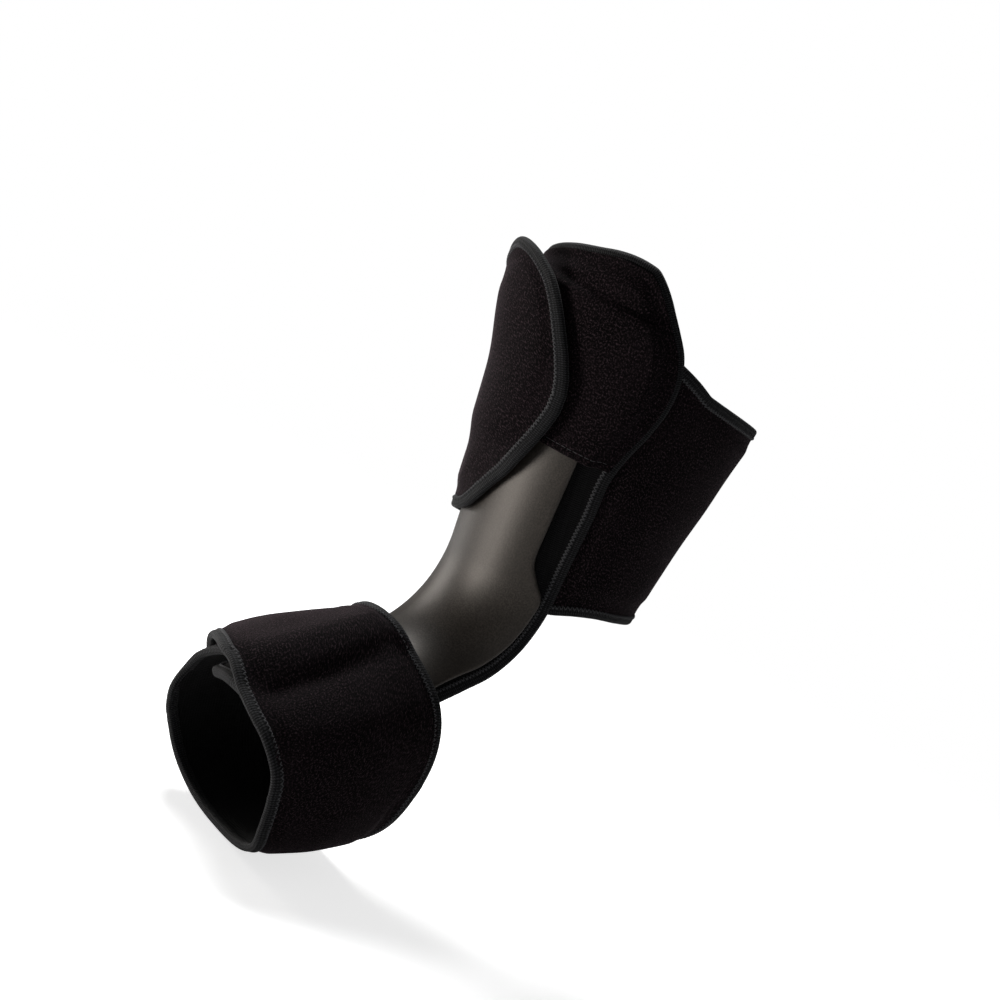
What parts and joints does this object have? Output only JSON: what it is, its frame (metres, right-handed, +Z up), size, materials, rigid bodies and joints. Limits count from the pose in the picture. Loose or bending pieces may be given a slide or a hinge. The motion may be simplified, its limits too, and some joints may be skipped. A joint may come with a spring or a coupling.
{
  "type": "dorsal night splint",
  "caption": "Dorsal night splint as worn: a rigid L-shaped shell on a padded liner, held by a calf wrap and a foot wrap with bound edges.",
  "frame": {"origin": "where the liner's inner face bears on the front of the ankle, at the middle of its bend", "axes": "+Z up along the shin end, foot end towards -Y, inner (medial) side of a right-hand splint towards +X"},
  "size_m": [0.1181, 0.2285, 0.319],
  "materials": {
    "liner_knit": "fine ribbed black knit over foam",
    "binding_tape": "dark grey knitted edge tape with overlock stitches",
    "shell_plastic": "dark warm grey plastic with a satin fine grain",
    "brushed_velour": "brushed black velour loop over thin foam",
    "hook_tape": "plain black hook tape"
  },
  "bodies": {
    "root": {"liner": "liner_knit", "liner_binding": "binding_tape", "shell": "shell_plastic", "shin_cover": "brushed_velour", "calf_wrap": "brushed_velour", "calf_wrap_binding": "binding_tape", "foot_wrap": "brushed_velour", "foot_wrap_binding": "binding_tape", "calf_hook_patch": "hook_tape", "foot_hook_patch": "hook_tape"}
  },
  "joints": []
}
